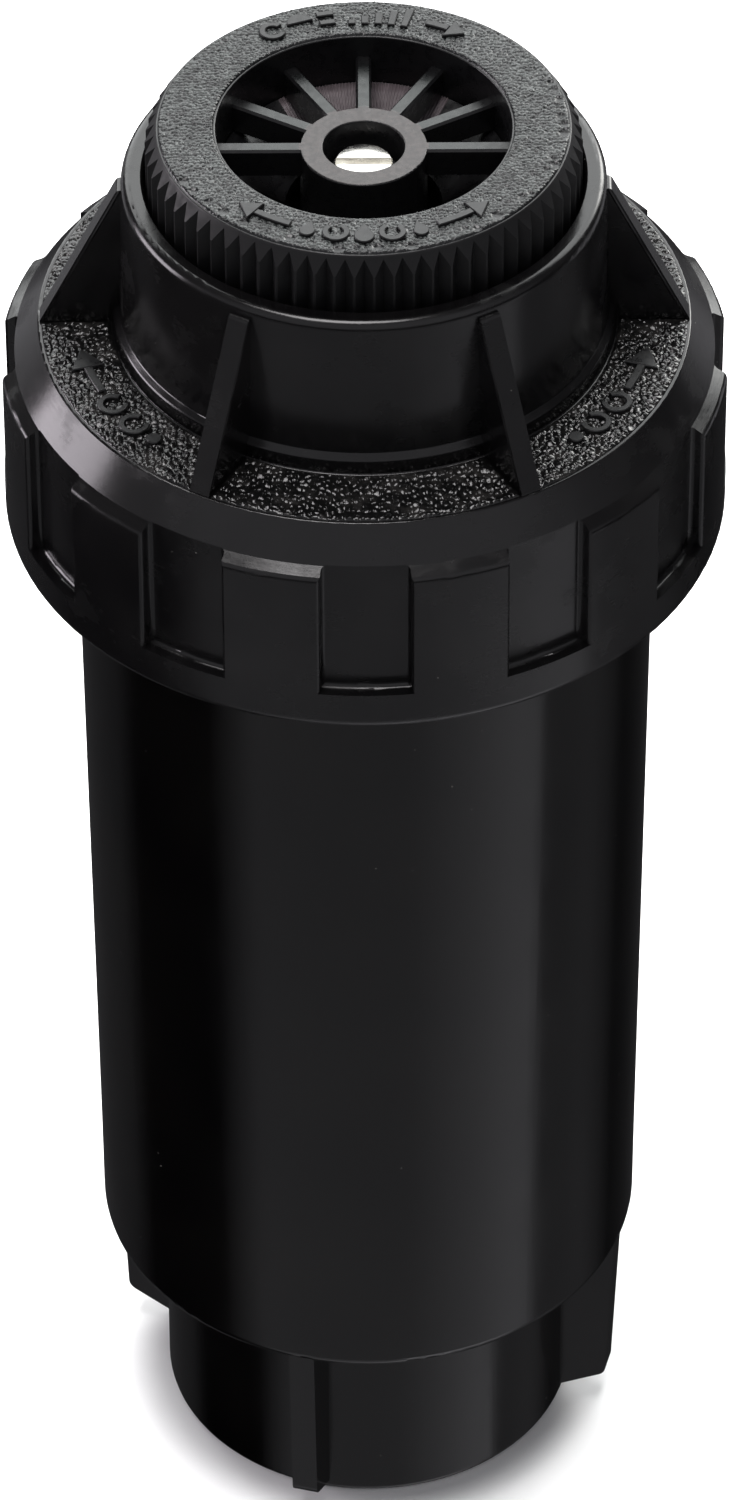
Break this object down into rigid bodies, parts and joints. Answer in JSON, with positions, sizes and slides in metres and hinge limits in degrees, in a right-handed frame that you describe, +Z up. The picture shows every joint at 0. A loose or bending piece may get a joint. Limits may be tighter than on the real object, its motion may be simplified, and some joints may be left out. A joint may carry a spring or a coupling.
{
  "type": "pop-up spray sprinkler",
  "caption": "Pop-up lawn sprinkler: drafted canister with threaded inlet, ribbed screw cap with collar, spring-return riser and a fluted half-pattern spray nozzle.",
  "frame": {"origin": "centre of the bottom face of the inlet boss, at the object's lowest plane", "axes": "+Z up along the riser and inlet axis, +Y towards the middle of the spray pattern"},
  "size_m": [0.0508, 0.0508, 0.118],
  "materials": {
    "can_plastic": "black moulded plastic, smooth with a soft gloss",
    "cap_plastic": "black moulded plastic, smooth collar and skirt, pebbled ring round the collar",
    "nozzle_plastic": "dark grey-black moulded plastic, fine sandy grain on top",
    "riser_plastic": "black moulded plastic, polished tube",
    "guide_plastic": "natural white acetal",
    "filter_plastic": "satin moulded plastic",
    "screen_plastic": "fine slotted white screen",
    "seal_rubber": "soft black elastomer",
    "spring_steel": "drawn stainless wire",
    "screw_steel": "bright turned stainless steel"
  },
  "bodies": {
    "canister": {"canister_body": "can_plastic"},
    "seal_carrier": {"wiper_seal": "seal_rubber", "spring_seat_ring": "guide_plastic", "retract_spring": "spring_steel"},
    "cap": {"screw_cap": "cap_plastic"},
    "ratchet_ring": {"ratchet_ring": "guide_plastic", "riser_washer": "seal_rubber"},
    "riser": {"riser_stem": "riser_plastic"},
    "filter": {"filter_basket": "filter_plastic", "filter_screen": "screen_plastic"},
    "nozzle": {"nozzle_wheel": "nozzle_plastic", "nozzle_base": "nozzle_plastic"},
    "screw_seal": {"screw_o_ring": "seal_rubber"},
    "adjusting_screw": {"adjusting_screw": "screw_steel"}
  },
  "joints": [
    {"name": "cap_lift", "type": "slide", "parent": "canister", "child": "seal_carrier", "axis": [0, 0, 1], "range_m": [0, 0.009]},
    {"name": "cap_turn", "type": "hinge", "parent": "seal_carrier", "child": "cap", "pos_m": [0, 0, 0.1], "axis": [0, 0, 1], "range_deg": [0, 1080]},
    {"name": "riser_pop_up", "type": "slide", "parent": "seal_carrier", "child": "ratchet_ring", "axis": [0, 0, 1], "range_m": [0, 0.0508], "stiffness_N_per_m": 165, "springref_m": -0.104, "deforming": ["retract_spring"]},
    {"name": "riser_aim", "type": "hinge", "parent": "ratchet_ring", "child": "riser", "pos_m": [0, 0, 0.06], "axis": [0, 0, 1], "continuous": true},
    {"name": "nozzle_lift", "type": "slide", "parent": "riser", "child": "filter", "axis": [0, 0, 1], "range_m": [0, 0.0064]},
    {"name": "nozzle_turn", "type": "hinge", "parent": "filter", "child": "nozzle", "pos_m": [0, 0, 0.112], "axis": [0, 0, 1], "range_deg": [0, 1440]},
    {"name": "screw_travel", "type": "slide", "parent": "nozzle", "child": "screw_seal", "axis": [0, 0, 1], "range_m": [-0.0024, 0.001]},
    {"name": "screw_turn", "type": "hinge", "parent": "screw_seal", "child": "adjusting_screw", "pos_m": [0, 0, 0.11], "axis": [0, 0, 1], "range_deg": [-1080, 450]}
  ],
  "couplings": [
    {"joint": "cap_lift", "follows": "cap_turn", "m_per_rad": 0.00047746},
    {"joint": "nozzle_lift", "follows": "nozzle_turn", "m_per_rad": 0.00025465},
    {"joint": "screw_turn", "follows": "screw_travel", "rad_per_m": 7854}
  ]
}
